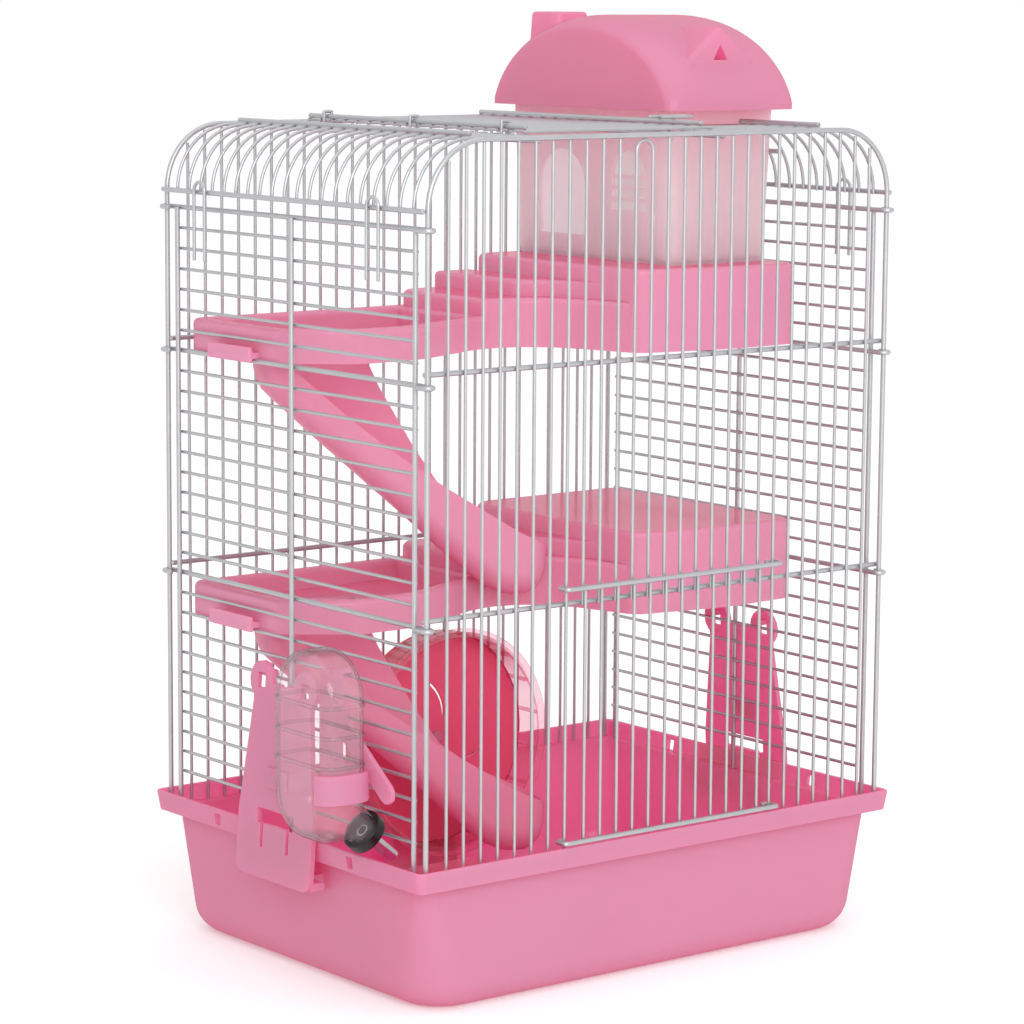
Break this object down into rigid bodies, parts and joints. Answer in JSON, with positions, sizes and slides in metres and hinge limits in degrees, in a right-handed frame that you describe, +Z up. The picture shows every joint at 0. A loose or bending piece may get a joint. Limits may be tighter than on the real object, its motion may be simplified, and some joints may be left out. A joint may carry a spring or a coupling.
{
  "type": "small rodent cage",
  "caption": "Wire cage for small rodents on a deep moulded tray, with stepped shelves, slides, a roof house, an exercise wheel, a bottle, a slide-up door, a roof hatch and side latches.",
  "frame": {"origin": "centre of the flat underside of the tray", "axes": "+X along the front to the right, +Y to the back, +Z up"},
  "size_m": [0.4022, 0.2701, 0.556],
  "materials": {
    "pink_plastic": "moulded, soft gloss",
    "wire": "silver coat over round wire",
    "milky_plastic": "milky, translucent",
    "tinted_plastic": "tinted, see-through",
    "clear_plastic": "clear",
    "black_plastic": "soft gloss",
    "steel": "drawn"
  },
  "bodies": {
    "cage": {"tray": "pink_plastic", "front_panel": "wire", "back_panel": "wire", "left_panel": "wire", "right_panel": "wire", "roof_panel": "wire", "roof_clips": "wire", "upper_shelf": "pink_plastic", "middle_shelf": "pink_plastic", "upper_slide": "pink_plastic", "lower_slide": "pink_plastic", "house_body": "milky_plastic", "wheel_axle": "steel", "wheel_stand": "pink_plastic", "bottle": "clear_plastic", "bottle_cap": "black_plastic", "bottle_tube": "steel", "bottle_holder": "pink_plastic"},
    "door": {"door": "wire"},
    "hatch": {"hatch": "wire", "hatch_latch": "wire"},
    "latch_left": {"latch_left": "pink_plastic"},
    "latch_right": {"latch_right": "pink_plastic"},
    "wheel": {"wheel_drum": "tinted_plastic", "wheel_disc": "pink_plastic"},
    "house_roof": {"house_roof": "pink_plastic"},
    "food_box": {"food_box": "clear_plastic"},
    "bottle_ball": {"bottle_ball": "steel"}
  },
  "joints": [
    {"name": "door_slide", "type": "slide", "parent": "cage", "child": "door", "axis": [0, 0, 1], "range_m": [0, 0.12]},
    {"name": "hatch_hinge", "type": "hinge", "parent": "cage", "child": "hatch", "pos_m": [-0.085, 0, 0.4938], "axis": [0, -1, 0], "range_deg": [0, 110]},
    {"name": "latch_left_hinge", "type": "hinge", "parent": "cage", "child": "latch_left", "pos_m": [-0.1775, 0, 0.0595], "axis": [0, -1, 0], "range_deg": [0, 95]},
    {"name": "latch_right_hinge", "type": "hinge", "parent": "cage", "child": "latch_right", "pos_m": [0.1775, 0, 0.0595], "axis": [0, 1, 0], "range_deg": [0, 95]},
    {"name": "wheel_spin", "type": "hinge", "parent": "cage", "child": "wheel", "pos_m": [-0.005, 0.09, 0.105], "axis": [0, 1, 0], "continuous": true},
    {"name": "house_roof_lift", "type": "slide", "parent": "cage", "child": "house_roof", "axis": [0, 0, 1], "range_m": [0, 0.08]},
    {"name": "food_box_lift", "type": "slide", "parent": "cage", "child": "food_box", "axis": [0, 0, 1], "range_m": [0, 0.1]},
    {"name": "ball_slide", "type": "slide", "parent": "cage", "child": "bottle_ball", "axis": [-0.766, 0, 0.6428], "range_m": [0, 0.0015]}
  ]
}
